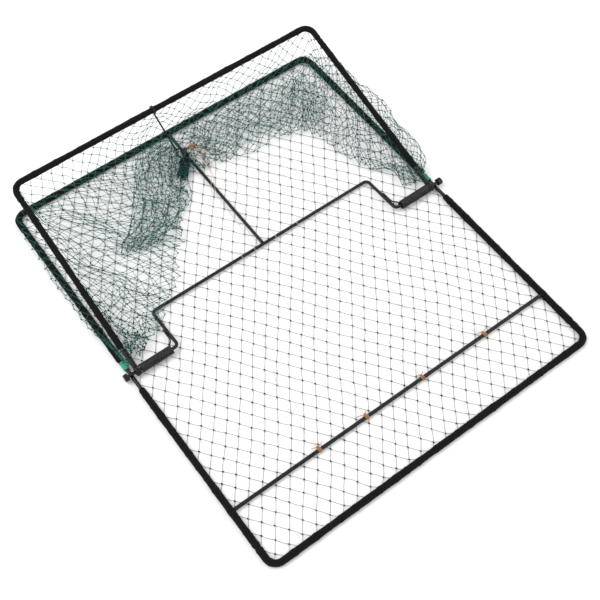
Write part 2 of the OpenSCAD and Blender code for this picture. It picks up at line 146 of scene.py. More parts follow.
def ring_tube(name, path, radius, sides=8):
    """A closed tube along a path in metres, with no finish yet."""
    along = np.gradient(path, axis=0)
    along /= np.linalg.norm(along, axis=1, keepdims=True)
    side = np.cross(along, [0, 0, 1.0])
    side /= np.linalg.norm(side, axis=1, keepdims=True)
    up = np.cross(side, along)
    angle = np.arange(sides) * 2 * np.pi / sides
    rings = path[:, None] + radius * (np.cos(angle)[None, :, None] * side[:, None]
                                      + np.sin(angle)[None, :, None] * up[:, None])
    faces = [[i * sides + k, i * sides + (k + 1) % sides,
              (i + 1) * sides + (k + 1) % sides, (i + 1) * sides + k]
             for i in range(len(path) - 1) for k in range(sides)]
    last = (len(path) - 1) * sides
    faces += [list(reversed(range(sides))), [last + k for k in range(sides)]]
    data = bpy.data.meshes.new(name)
    data.from_pydata(rings.reshape(-1, 3).tolist(), [], faces)
    data.polygons.foreach_set("use_smooth", np.full(len(faces), True))
    piece = bpy.data.objects.new(name, data)
    bpy.context.scene.collection.objects.link(piece)
    return piece


trip_lines = []
for name, route in ROUTES.items():
    path = smooth_path(np.array(route, float) * MM, 6)
    line = ring_tube(name + "_nylon", path, LINE_D / 2)
    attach(line, "base")
    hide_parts(name)
    trip_lines.append(line)

# %% [markdown]
# Surface effects that several finishes share are node groups. Each puts out only a mask or a
# height, so that the shader itself stays in the material. `speckle` is a fine noise mask, and
# `twist` is the diagonal lay of a twisted thread.

# %% Shared surface effects


def new_group(name, inputs, outputs):
    """An empty shader node group with named number sockets."""
    group = bpy.data.node_groups.new(name, "ShaderNodeTree")
    for label, value in inputs:
        socket = group.interface.new_socket(label, in_out="INPUT", socket_type="NodeSocketFloat")
        socket.default_value = value
    for label in outputs:
        group.interface.new_socket(label, in_out="OUTPUT", socket_type="NodeSocketFloat")
    return group, group.nodes.new("NodeGroupInput"), group.nodes.new("NodeGroupOutput")


def build_speckle():
    group, given, result = new_group("speckle", [("Scale", 400.0), ("Contrast", 4.0)], ["Mask"])
    place = group.nodes.new("ShaderNodeTexCoord")
    noise = group.nodes.new("ShaderNodeTexNoise")
    noise.inputs["Detail"].default_value = 6
    spread = group.nodes.new("ShaderNodeMath")
    spread.operation = "SUBTRACT"
    spread.inputs[1].default_value = 0.5
    sharpen = group.nodes.new("ShaderNodeMath")
    sharpen.operation = "MULTIPLY"
    lift = group.nodes.new("ShaderNodeMath")
    lift.operation = "ADD"
    lift.use_clamp = True
    lift.inputs[1].default_value = 0.5
    link = group.links.new
    link(place.outputs["Object"], noise.inputs["Vector"])
    link(given.outputs["Scale"], noise.inputs["Scale"])
    link(noise.outputs["Fac"], spread.inputs[0])
    link(spread.outputs[0], sharpen.inputs[0])
    link(given.outputs["Contrast"], sharpen.inputs[1])
    link(sharpen.outputs[0], lift.inputs[0])
    link(lift.outputs[0], result.inputs["Mask"])
    return group


def build_twist():
    group, given, result = new_group("twist", [("Scale", 300.0), ("Waviness", 3.0)], ["Height"])
    place = group.nodes.new("ShaderNodeTexCoord")
    wave = group.nodes.new("ShaderNodeTexWave")
    wave.bands_direction = "DIAGONAL"
    wave.inputs["Detail"].default_value = 3
    link = group.links.new
    link(place.outputs["Object"], wave.inputs["Vector"])
    link(given.outputs["Scale"], wave.inputs["Scale"])
    link(given.outputs["Waviness"], wave.inputs["Distortion"])
    link(wave.outputs["Fac"], result.inputs["Height"])
    return group


SPECKLE = build_speckle()
TWIST = build_twist()
print("shared effects:", SPECKLE.name, TWIST.name)

# %% [markdown]
# A finish is a Principled shader whose colour and roughness move between two values by the
# speckle mask, with a bump from the speckle or the twist.

# %% Finishes


def finish(name, dark, light, rough, scale, contrast=4.0, bump=0.2, bump_scale=None, twist=None, **fixed):
    """A material that varies between two colours and two roughnesses over the surface."""
    material = bpy.data.materials.new(name)
    material.use_nodes = True
    nodes, link = material.node_tree.nodes, material.node_tree.links.new
    shader = nodes["Principled BSDF"]
    mask = nodes.new("ShaderNodeGroup")
    mask.node_tree = SPECKLE
    mask.inputs["Scale"].default_value = scale
    mask.inputs["Contrast"].default_value = contrast
    colours = nodes.new("ShaderNodeMix")
    colours.data_type = "RGBA"
    colours.inputs["A"].default_value = (*dark, 1)
    colours.inputs["B"].default_value = (*light, 1)
    roughness = nodes.new("ShaderNodeMapRange")
    roughness.inputs["To Min"].default_value = rough[0]
    roughness.inputs["To Max"].default_value = rough[1]
    link(mask.outputs["Mask"], colours.inputs["Factor"])
    link(mask.outputs["Mask"], roughness.inputs["Value"])
    link(colours.outputs["Result"], shader.inputs["Base Color"])
    link(roughness.outputs["Result"], shader.inputs["Roughness"])
    relief = nodes.new("ShaderNodeBump")
    relief.inputs["Strength"].default_value = bump
    relief.inputs["Distance"].default_value = 0.0004
    height = nodes.new("ShaderNodeGroup")
    height.node_tree = TWIST if twist else SPECKLE
    height.inputs["Scale"].default_value = twist or bump_scale or scale * 2
    link(height.outputs[0], relief.inputs["Height"])
    link(relief.outputs["Normal"], shader.inputs["Normal"])
    for socket, value in fixed.items():
        shader.inputs[socket.replace("_", " ")].default_value = value
    return material


dipped_black = finish("dipped_black", (0.0025, 0.0025, 0.003), (0.007, 0.007, 0.008), (0.2, 0.42),
                      220, bump=0.12, bump_scale=900, Specular_IOR_Level=0.3)
binding_cord = finish("binding_cord", (0.0015, 0.0015, 0.0018), (0.007, 0.007, 0.0075), (0.75, 0.95),
                      700, bump=0.8, twist=900, Specular_IOR_Level=0.2)
spring_steel = finish("spring_steel", (0.012, 0.012, 0.013), (0.05, 0.05, 0.052), (0.25, 0.5),
                      500, bump=0.15, Metallic=0.6)
net_green = finish("net_green", (0.008, 0.085, 0.075), (0.035, 0.2, 0.175), (0.5, 0.7),
                   900, bump=0.5, twist=2600, Specular_IOR_Level=0.3)
floor_grey = finish("floor_grey", (0.075, 0.095, 0.09), (0.16, 0.18, 0.175), (0.5, 0.75),
                    900, bump=0.5, twist=2600, Sheen_Weight=0.2)
knot_dark = finish("knot_dark", (0.003, 0.008, 0.0075), (0.012, 0.022, 0.02), (0.6, 0.8),
                   1500, bump=0.4, Specular_IOR_Level=0.2)
bright_green = finish("bright_green", (0.01, 0.33, 0.21), (0.03, 0.52, 0.35), (0.45, 0.65),
                      900, bump=0.7, twist=1400, Sheen_Weight=0.3)
orange_twine = finish("orange_twine", (0.34, 0.1, 0.025), (0.72, 0.3, 0.1), (0.55, 0.8),
                      1100, bump=0.8, twist=1700, Sheen_Weight=0.3)
worn_steel = finish("worn_steel", (0.02, 0.018, 0.016), (0.12, 0.1, 0.085), (0.35, 0.65),
                    420, bump=0.3, Metallic=0.8)
nylon_line = finish("nylon_line", (0.74, 0.5, 0.43), (0.9, 0.68, 0.6), (0.12, 0.25),
                    500, bump=0.05, Transmission_Weight=0.45, IOR=1.53)
for line in trip_lines:
    line.data.materials.append(nylon_line)
print(len(bpy.data.materials), "materials")

# %% Finish the rods and fittings of the engineering model
METAL_NODES = {
    dipped_black: ["base_frame", "cross_bar", "centre_rod", "yoke", "left_end_collar",
                   "right_end_collar", "bow_frame", "hold_down_rod"],
    spring_steel: ["left_spring_leg", "right_spring_leg"],
    worn_steel: ["catch_saddle", "catch_lever"],
}
for material, names in METAL_NODES.items():
    for name in names:
        for holder in frame["nodes"][name].material_slots:
            holder.material = material
print("rods finished")

# %% [markdown]
# Every thread, wire and cord is a swept tube. Building thousands of them is quick when all the
# rings of all the tubes are worked out together as arrays.

# %% Swept tubes


def mesh_piece(name, points, faces, material, smooth=True):
    """A mesh object from arrays of points and four-sided faces."""
    data = bpy.data.meshes.new(name)
    data.from_pydata(points.tolist(), [], faces.tolist() if hasattr(faces, "tolist") else faces)
    data.polygons.foreach_set("use_smooth", np.full(len(data.polygons), smooth))
    data.materials.append(material)
    data.update()
    piece = bpy.data.objects.new(name, data)
    bpy.context.scene.collection.objects.link(piece)
    return piece


def sweep(paths, radius, sides=6):
    """Tubes round many paths of equal point count: paths is (tubes, points, 3), in metres."""
    paths = np.asarray(paths, float)
    tubes, count, _ = paths.shape
    along = np.gradient(paths, axis=1)
    along /= np.linalg.norm(along, axis=2, keepdims=True) + 1e-12
    level = np.abs(along[..., 2:3]) > 0.95
    helper = np.where(level, np.array([1.0, 0, 0]), np.array([0, 0, 1.0]))
    side = np.cross(along, helper)
    side /= np.linalg.norm(side, axis=2, keepdims=True) + 1e-12
    up = np.cross(side, along)
    turn = np.arange(sides) * 2 * np.pi / sides
    radius = np.broadcast_to(np.asarray(radius, float), (tubes, count))[..., None, None]
    ring = (np.cos(turn)[:, None] * side[:, :, None, :] + np.sin(turn)[:, None] * up[:, :, None, :])
    points = (paths[:, :, None, :] + radius * ring).reshape(-1, 3)
    base = (np.arange(tubes)[:, None, None] * count + np.arange(count - 1)[None, :, None]) * sides
    k = np.arange(sides)[None, None, :]
    k_next = (k + 1) % sides
    faces = np.stack([base + k, base + k_next, base + sides + k_next, base + sides + k], axis=-1)
    return points, faces.reshape(-1, 4)


def capped(points, faces, tubes, count, sides):
    """Closes both ends of every tube with one face each."""
    caps = []
    for tube in range(tubes):
        first = tube * count * sides
        last = first + (count - 1) * sides
        caps.append([first + k for k in reversed(range(sides))])
        caps.append([last + k for k in range(sides)])
    return faces.tolist() + caps


def tube_piece(name, path, radius, material, sides=10):
    """One closed tube along a path in metres."""
    path = np.asarray(path, float)[None]
    points, faces = sweep(path, radius, sides)
    return mesh_piece(name, points, capped(points, faces, 1, path.shape[1], sides), material)


print("tube tools ready")

# %% [markdown]
# The net is knotted twine in diamonds. A lattice of knots is placed on the surface that the
# net takes, and each bar is a thin tube between two knots, a little bowed, because the twine
# is soft. The knots are small lumps of their own.

# %% Net building
THREAD_R = 0.3 * MM
KNOT_R = 1.25 * MM
OCTA = np.array([[1, 0, 0], [-1, 0, 0], [0, 1, 0], [0, -1, 0], [0, 0, 1], [0, 0, -1]], float)
OCTA_FACES = np.array([[0, 2, 4], [2, 1, 4], [1, 3, 4], [3, 0, 4],
                       [2, 0, 5], [1, 2, 5], [3, 1, 5], [0, 3, 5]])


def net_threads(ends_a, ends_b, sag, radius=THREAD_R, sides=5, steps=4):
    """Bowed tubes from each point of ends_a to the matching point of ends_b."""
    t = np.linspace(0, 1, steps + 1)[None, :, None]
    paths = ends_a[:, None, :] * (1 - t) + ends_b[:, None, :] * t
    bow = rng.normal(0, 1, (len(ends_a), 1, 3)) * sag
    paths = paths + bow * np.sin(np.pi * t)
    return sweep(paths, radius, sides)


def net_knots(centres, size):
    """A small uneven lump at every knot."""
    count = len(centres)
    scale = size * rng.uniform(0.8, 1.2, (count, 1, 3)) * np.array([1.0, 1.25, 0.75])
    points = centres[:, None, :] + OCTA[None] * scale
    faces = OCTA_FACES[None] + 6 * np.arange(count)[:, None, None]
    return points.reshape(-1, 3), faces.reshape(-1, 3)


def net_piece(name, bars_a, bars_b, knots, sag, thread_finish, knot_finish,
              knot_size=KNOT_R, thread=THREAD_R):
    """One net object with its threads and its knots in two finishes."""
    points, faces = net_threads(bars_a, bars_b, sag, thread)
    lumps, lump_faces = net_knots(knots, knot_size)
    piece = mesh_piece(name, np.vstack([points, lumps]),
                       faces.tolist() + (lump_faces + len(points)).tolist(), thread_finish)
    piece.data.materials.append(knot_finish)
    index = np.concatenate([np.zeros(len(faces), int), np.ones(len(lump_faces), int)])
    piece.data.polygons.foreach_set("material_index", index.astype(np.int32))
    return piece


print("net tools ready")

# %% [markdown]
# The base net is stretched flat over the whole rectangle, and its edge meshes are caught in
# the cord that binds the rods. Its diamonds stand with their long diagonal front to back.

# %% Base net
MESH_X, MESH_Y = 9.9 * MM, 13.3 * MM
net_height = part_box("base_net")[1][2] - 0.1 * MM


def floor_wobble(x, y):
    """The slow unevenness of a hand-laced net."""
    dx = 1.1 * np.sin(x * 23 + y * 9) + 0.9 * np.sin(y * 31 - x * 12 + 1)
    dy = 1.2 * np.sin(x * 17 - y * 13 + 2) + 0.8 * np.sin(y * 27 + x * 21)
    return dx * MM, dy * MM


columns = int(half_w / MESH_X)
rows = int(half_l / MESH_Y)
place = {}
for i in range(-columns - 1, columns + 2):
    for j in range(-rows - 1, rows + 2):
        if (i + j) % 2 == 0:
            x = min(max(i * MESH_X, -half_w), half_w)
            y = min(max(j * MESH_Y, -half_l), half_l)
            inside = abs(i) <= columns and abs(j) <= rows
            dx, dy = floor_wobble(x, y)
            jitter = rng.normal(0, 0.35 * MM, 2)
            shift = (dx + jitter[0], dy + jitter[1]) if inside else (0, 0)
            place[i, j] = (x + shift[0], y + shift[1], net_height if inside else rod_z)
pairs = [(place[i, j], place[i + s, j + 1]) for i, j in place for s in (-1, 1)
         if (i + s, j + 1) in place]
bars_a = np.array([a for a, b in pairs])
bars_b = np.array([b for a, b in pairs])
knots = np.array([p for (i, j), p in place.items() if abs(i) <= columns and abs(j) <= rows])
base_net = net_piece("base_net_knotted", bars_a, bars_b, knots, np.array([0.35, 0.35, 0.1]) * MM,
                     floor_grey, knot_dark, thread=0.3 * MM)
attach(base_net, "base")
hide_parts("base_net")
print("base net:", len(knots), "knots,", len(pairs), "bars")

# %% [markdown]
# The slack net joins the bow to the base. Across its width it runs from the base rods, inward
# over the rear half, round a loose front fold, and back up to the bow. The fold's edge is
# given by a few points on each side; everything between is blended and rippled. A weight that rises from
# the base to the bow is worked out, but the net is not tied to either body.

# %% Slack net: the paths from base to bow
bow_lo, bow_hi = (np.array(c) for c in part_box("far_bow_binding"))
hinge = next(j for j in frame["record"]["behaviour"]["joints"] if j["name"] == "bow_swing")
pin_z = hinge["pos_m"][2]
bow_half = (bow_hi[0] - bow_lo[0]) / 2 - 4 * MM
far_y, far_z = bow_hi[1] - 4 * MM, bow_hi[2] - 4 * MM
set_angle = math.atan2(far_z - pin_z, far_y)
FOLD_POINTS = [
    (-225, 22), (-204, 30), (-184, 36), (-158, 58), (-129, 74), (-104, 110), (-86, 130),
    (-73, 148), (-54, 170), (-40, 188), (-28, 205), (-14, 222), (10, 224), (26, 208), (60, 206),
    (102, 201), (141, 190), (163, 190), (172, 168), (176, 136), (183, 105), (192, 77),
    (209, 49), (222, 22)]
START_Y = 22 * MM
SIDE = half_l - START_Y
ROUND = 2 * SIDE + 2 * half_w
RIGHT_BULGE, LEFT_BULGE = 29 * MM, 11 * MM


def on_sides(u, side_x, back_y, z_of):
    """A point at share u of the way round three sides: left rail, back bar, right rail."""
    s = u * ROUND
    if s < SIDE:
        y = START_Y + s / SIDE * (back_y - START_Y)
        return np.array([-side_x, y, z_of(y)])
    if s < SIDE + 2 * half_w:
        x = -side_x + (s - SIDE) / (2 * half_w) * 2 * side_x
        return np.array([x, back_y, z_of(back_y)])
    y = back_y - (s - SIDE - 2 * half_w) / SIDE * (back_y - START_Y)
    return np.array([side_x, y, z_of(y)])


def base_point(u):
    return on_sides(u, half_w, half_l, lambda y: rod_z)


def bow_point(u):
    return on_sides(u, bow_half, far_y, lambda y: pin_z + y * math.tan(set_angle))


def fold_point(u):
    spots = np.array(FOLD_POINTS) * MM
    at = np.linspace(0, 1, len(spots))
    return np.array([np.interp(u, at, spots[:, 0]), np.interp(u, at, spots[:, 1])])


def slack_path(u, count):
    """Points from the base rod to the bow at share u of the way round."""
    start, end, fold = base_point(u), bow_point(u), fold_point(u)
    front = np.array([fold[0], fold[1], 6 * MM])
    right = max(0.0, (u - 1) * ROUND / SIDE + 1)
    left = max(0.0, 1 - u * ROUND / SIDE)
    crest = start * 0.78 + front * 0.22 + np.array([0, 0, 9 * MM])
    dip = start * 0.42 + front * 0.58 + np.array([0, 0, 2 * MM])
    back = end * 0.35 + front * 0.65
    back[2] = 15 * MM
    rise = end * 0.8 + front * 0.2
    rise[2] = 0.3 * end[2] + 8 * MM
    control = [start + np.array([0, 0, 3 * MM])]
    if right > 0 or left > 0:
        right_bulge = RIGHT_BULGE * math.sin(math.pi * right) ** 0.7
        out = right_bulge if right > 0 else LEFT_BULGE * math.sin(math.pi * left)
        side = np.array([1.0 if right > 0 else -1.0, 0, 0])
        control += [start + side * out + np.array([0, 0, 4 * MM]),
                    start + side * out * 0.6 + np.array([0, 0, (8 + 700 * out) * MM])]
    path = smooth_path(control + [crest, dip, front, back, rise, end], 10)
    lengths = np.concatenate([[0], np.cumsum(np.linalg.norm(np.diff(path, axis=0), axis=1))])
    at = np.linspace(0, lengths[-1], count)
    return np.stack([np.interp(at, lengths, path[:, k]) for k in range(3)], axis=1)


print("slack net goes round", round(ROUND, 3), "m of rod")

# %% Slack net: lattice, ripples and threads
NET_COLUMNS = 124
NET_ROWS = 36
lattice = np.array([slack_path(u, NET_ROWS + 1) for u in np.linspace(0, 1, NET_COLUMNS + 1)])
share = np.linspace(0, 1, NET_ROWS + 1)[None, :]
turn_u = np.linspace(0, 1, NET_COLUMNS + 1)[:, None]
loose = np.sin(np.pi * share) ** 0.8
near_fold = np.exp(-((share - 0.55) / 0.12) ** 2)
ripple = (np.sin(turn_u * 120 + share * 9) + 0.7 * np.sin(turn_u * 67 - share * 15 + 1)
          + 0.6 * np.sin(turn_u * 31 + share * 21 + 2))
drift_x = np.sin(turn_u * 71 + share * 13) + 0.8 * np.sin(turn_u * 43 - share * 23 + 2)
drift_y = np.sin(turn_u * 59 - share * 17 + 1) + 0.8 * np.sin(turn_u * 37 + share * 26)
drift = loose * (1 - 0.75 * near_fold) * 6.5 * MM
lattice[..., 0] += drift * drift_x
lattice[..., 1] += drift * drift_y
lattice[..., 2] += loose * (ripple * 3.2 + 2) * MM
lattice += loose[..., None] * rng.normal(0, 1.0 * MM, lattice.shape)
lattice[..., 2] = np.maximum(lattice[..., 2], 2.2 * MM + 2 * MM * np.abs(np.sin(turn_u * 300 + share * 40)))
over_bar = np.exp(-((share - 0.03) / 0.05) ** 2) * (np.abs(lattice[..., 1] - half_l) < 9 * MM)
lattice[..., 2] += over_bar * 5 * MM
follow = np.clip((share - 0.04) / 0.92, 0, 1)
follow = follow * follow * (3 - 2 * follow)


def slack_part(name, first, last, node):
    """The slack net between two columns of the lattice, from base to bow."""
    cells = [(i, j) for i in range(first, last + 1) for j in range(NET_ROWS + 1) if (i + j) % 2 == 0]
    ends = [((i, j), (i + 1, j + s)) for i, j in cells if i < last
            for s in (-1, 1) if 0 <= j + s <= NET_ROWS]
    a = np.array([lattice[p] for p, q in ends])
    b = np.array([lattice[q] for p, q in ends])
    centres = np.array([lattice[c] for c in cells])
    piece = net_piece(name, a, b, centres, np.array([0.8, 0.8, 0.6]) * MM, net_green, knot_dark,
                      knot_size=1.15 * MM)
    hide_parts(node)
    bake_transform(piece)
    print(name, len(ends), "bars")
    return piece


corner_left = round(SIDE / ROUND * NET_COLUMNS)
corner_right = NET_COLUMNS - corner_left
slack_part("left_slack_net", 0, corner_left, "left_bag_net")
slack_part("rear_slack_net", corner_left, corner_right, "back_bag_net")
slack_part("right_slack_net", corner_right, NET_COLUMNS, "right_bag_net")

# %% [markdown]
# From the bunch beside the catch a second layer of the net fans out over the first, narrow at
# the bunch and wide where it joins the folds. A like layer lies along the back bar on the
# other side.

# %% Slack net: second layers
LAYERS = {
    "left_net_layer": ([(-12, 292), (-58, 288), (-86, 258), (-108, 221), (-136, 191), (-168, 168)],
                       [(-8, 262), (-10, 240), (-24, 206), (-50, 176), (-81, 160), (-118, 148)], 20, 34),
    "right_net_layer": ([(14, 290), (60, 290), (110, 288), (160, 286), (206, 278), (232, 250)],
                        [(18, 246), (44, 226), (88, 222), (134, 214), (170, 204), (196, 176)], 40, 14),
}
for name, (outer, inner, wide, deep) in LAYERS.items():
    rail_a = smooth_path(np.array([(x, y, 0) for x, y in outer]) * MM, 10)
    rail_b = smooth_path(np.array([(x, y, 0) for x, y in inner]) * MM, 10)
    at_a = np.linspace(0, len(rail_a) - 1, wide + 1)
    edge_a = np.stack([np.interp(at_a, np.arange(len(rail_a)), rail_a[:, k]) for k in range(3)], axis=1)
    edge_b = np.stack([np.interp(at_a, np.arange(len(rail_b)), rail_b[:, k]) for k in range(3)], axis=1)
    across = np.linspace(0, 1, deep + 1)[None, :, None]
    mesh = edge_a[:, None] * (1 - across) + edge_b[:, None] * across
    row = np.arange(wide + 1)[:, None]
    col = np.arange(deep + 1)[None, :]
    mesh[..., 0] += (2.6 * np.sin(row * 0.9 + col * 0.5) + 2 * np.sin(col * 1.1 - row * 0.3)) * MM
    mesh[..., 1] += (2.6 * np.sin(row * 0.6 - col * 0.8) + 2 * np.sin(col * 0.7 + row * 1.3)) * MM
    mesh[..., 2] = (7 + 2.6 * np.sin(row * 0.8) + 2.2 * np.sin(col * 1.2 + row * 0.4)) * MM
    mesh += rng.normal(0, 0.9 * MM, mesh.shape)
    cells = [(i, j) for i in range(wide + 1) for j in range(deep + 1) if (i + j) % 2 == 0]
    ends = [((i, j), (i + 1, j + s)) for i, j in cells if i < wide
            for s in (-1, 1) if 0 <= j + s <= deep]
    bars_a = np.array([mesh[p] for p, q in ends])
    bars_b = np.array([mesh[q] for p, q in ends])
    centres = np.array([mesh[c] for c in cells])
    layer = net_piece(name, bars_a, bars_b, centres, np.array([0.9, 0.9, 0.6]) * MM,
                      net_green, knot_dark, knot_size=1.0 * MM)
    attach(layer, "base")
    print(name, len(ends), "bars")

# %% [markdown]
# The rods are bound with soft black cord, wound side by side. The sleeve's surface rises and
# falls with each turn, and no two turns are quite the same, so it is swept ring by ring with a
# radius that follows the winding.

# %% Cord bindings
TURN = 2.6 * MM


def rounded_corner(a, corner, b, radius, steps=10):
    """Points of a quarter bend between the directions to a and to b."""
    to_a = (a - corner) / np.linalg.norm(a - corner)
    to_b = (b - corner) / np.linalg.norm(b - corner)
    centre = corner + (to_a + to_b) * radius
    angles = np.linspace(0, np.pi / 2, steps)
    return [centre - to_b * radius * math.cos(t) - to_a * radius * math.sin(t) for t in angles]


def rod_path(corners, radius):
    """A path with straight runs and round corners."""
    points = [corners[0]]
    for a, c, b in zip(corners[:-2], corners[1:-1], corners[2:]):
        points += rounded_corner(a, c, b, radius)
    points.append(corners[-1])
    return np.array(points)


def wound_sleeve(name, path, radius, node, body, floor=True, sides=18):
    """A bound length of rod, closed at both ends."""
    lengths = np.concatenate([[0], np.cumsum(np.linalg.norm(np.diff(path, axis=0), axis=1))])
    count = int(lengths[-1] / (TURN / 5))
    at = np.linspace(0, lengths[-1], count)
    path = np.stack([np.interp(at, lengths, path[:, k]) for k in range(3)], axis=1)
    along = np.gradient(path, axis=0)
    along /= np.linalg.norm(along, axis=1, keepdims=True)
    side = np.cross(along, [0, 0, 1.0])
    side /= np.linalg.norm(side, axis=1, keepdims=True)
    up = np.cross(side, along)
    angle = np.arange(sides) * 2 * np.pi / sides
    phase = (at / TURN)[:, None] + angle[None] / (2 * np.pi)
    groove = np.abs(np.sin(np.pi * phase)) ** 0.6
    number = np.floor(phase)
    uneven = np.sin(number * 12.9898) * 0.5 + 0.5
    slow = np.sin(at * 90 + 1)[:, None] * 0.5 + np.sin(at * 41)[:, None] * 0.5
    lump = np.maximum(0, np.sin(at * 260 + 2 * np.sin(at * 57)))[:, None] ** 6
    ring = radius * (0.97 + 0.12 * groove * (0.5 + 0.5 * uneven) + 0.06 * slow + 0.1 * lump)
    end_fade = np.minimum(1, np.minimum(at, at[-1] - at) / (2 * MM))[:, None]
    ring = ring * (0.78 + 0.22 * np.sqrt(end_fade))
    points = (path[:, None] + ring[..., None] * (np.cos(angle)[None, :, None] * side[:, None]
              + np.sin(angle)[None, :, None] * up[:, None]))
    points = points.reshape(-1, 3)
    if floor:
        points[:, 2] = np.maximum(points[:, 2], 0)
    k = np.arange(sides)
    base = np.arange(count - 1)[:, None] * sides
    k_next = (k + 1) % sides
    faces = np.stack([base + k, base + k_next, base + sides + k_next, base + sides + k], axis=-1)
    closed = capped(points, faces.reshape(-1, 4), 1, count, sides)
    piece = mesh_piece(name, points, closed, binding_cord)
    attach(piece, body)
    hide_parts(node)
    return piece


CORNER_R = 14 * MM
WRAP_R = 4.3 * MM
reach_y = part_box("front_binding")[1][1]
ENDS = (("front_cord_binding", "front_binding", -1), ("back_cord_binding", "back_binding", 1))
for name, node, sign in ENDS:
    corners = [np.array([-half_w, -sign * reach_y, rod_z]), np.array([-half_w, sign * half_l, rod_z]),
               np.array([half_w, sign * half_l, rod_z]), np.array([half_w, -sign * reach_y, rod_z])]
    wound_sleeve(name, rod_path(corners, CORNER_R), WRAP_R, node, "base")
for run in ("left_front", "right_front", "left_back", "right_back"):
    name, node = run + "_cord_binding", run + "_binding"
    lo, hi = (np.array(c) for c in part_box(node))
    x = (lo[0] + hi[0]) / 2
    wound_sleeve(name, np.array([[x, lo[1], rod_z], [x, hi[1], rod_z]]), WRAP_R, node, "base")
BOW_R = 4.0 * MM
for run in ("left_bow", "right_bow"):
    name, node = run + "_cord_binding", run + "_binding"
    lo, hi = (np.array(c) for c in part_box(node))
    x = (lo[0] + hi[0]) / 2
    near = lo[1] + BOW_R * math.sin(set_angle)
    far = hi[1] - BOW_R * math.sin(set_angle)
    ends = [[x, y, pin_z + y * math.tan(set_angle)] for y in (near, far)]
    wound_sleeve(name, np.array(ends), BOW_R, node, "bow", floor=False)
near_y = bow_lo[1] + BOW_R * math.sin(set_angle)


def on_bow(x, y):
    return np.array([x, y, pin_z + y * math.tan(set_angle)])


corners = [on_bow(-bow_half, near_y), on_bow(-bow_half, far_y),
           on_bow(bow_half, far_y), on_bow(bow_half, near_y)]
far_path = rod_path(corners, CORNER_R)
wound_sleeve("far_bow_cord_binding", far_path, BOW_R, "far_bow_binding", "bow", floor=False)
print("bindings wound")

# %% [markdown]
# Each coil spring is one wire: close turns round the hinge end, then a tail that lies against
# the yoke's arm. The wire is swept as a helix with its tail.

# %% Coil springs
for side_name, sign in (("left", -1), ("right", 1)):
    node = side_name + "_spring"
    lo, hi = (np.array(c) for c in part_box(node))
    inner, outer = sorted((abs(lo[0]), abs(hi[0])))
    wire = 2.2 * MM
    coil_r = (hi[2] - pin_z) - wire / 2
    coil_start = inner + 6.9 * MM
    coil_end = outer - wire / 2
    turns = round((coil_end - coil_start) / (wire * 1.04))
    t = np.linspace(0, turns * 2 * np.pi, turns * 28)
    x = coil_end - (coil_end - coil_start) * t / t[-1]
    end_angle = t[-1]
    helix = np.stack([x, coil_r * np.cos(t - end_angle), coil_r * np.sin(t - end_angle)], axis=1)
    tilt = math.atan2(pin_z - rod_z, 0.064)
    tail_x = inner + wire / 2
    tail = [(coil_start - 0.4 * MM, coil_r + 2 * MM), (tail_x + 1 * MM, coil_r + 7 * MM),
            (tail_x, coil_r + 11 * MM), (tail_x, hi[1] - 2 * MM), (tail_x, hi[1])]
    tail = np.array([[a, b * math.cos(tilt), -b * math.sin(tilt)] for a, b in tail])
    path = np.vstack([helix, smooth_path(tail, 6)])
    path[:, 0] *= sign
    path[:, 2] += pin_z
    spring = tube_piece(node + "_wire", path, wire / 2, spring_steel, sides=12)
    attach(spring, "base")
    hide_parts(node)
    print(node, turns, "turns")

# %% [markdown]
# Twine is wound in real turns: round the base rail beside the hinge in green, round the
# cross bar and the catch's stub in orange, each with its knot and cut ends.

# %% Lashings, ties and whipping


def winding(centre, axis, radius, turns, pitch, count=20):
    """A helix of twine round a rod that runs along X or Y."""
    t = np.linspace(0, turns * 2 * np.pi, int(turns * count))
    along = (t / (2 * np.pi) - turns / 2) * pitch
    wobble = radius * (0.97 + 0.03 * np.sin(t * 2.7 + 1))
    ring = np.stack([wobble * np.cos(t), wobble * np.sin(t)], axis=1)
    if axis == "x":
        points = np.stack([along, ring[:, 0], ring[:, 1]], axis=1)
    else:
        points = np.stack([ring[:, 0], along, ring[:, 1]], axis=1)
    return points + centre


def dress(piece, node, body):
    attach(piece, body)
    if node:
        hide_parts(node)
    return piece


def overhand(centre, size, seed):
    """A small knot: a closed tangle of twine round one point."""
    t = np.linspace(0, 2 * np.pi, 60)
    x = np.sin(t) + 2 * np.sin(2 * t)
    y = np.cos(t) - 2 * np.cos(2 * t)
    z = -np.sin(3 * t)
    spin = seed * 1.3
    turned_x = x * math.cos(spin) - y * math.sin(spin)
    turned_y = x * math.sin(spin) + y * math.cos(spin)
    return centre + np.stack([turned_x, turned_y, z], axis=1) * size / 3


def twine(name, path, radius, node, body, slot, material, sides=8):
    """A closed tube of twine that rides on a body."""
    return dress(tube_piece(name, path, radius, material, sides), node, body)


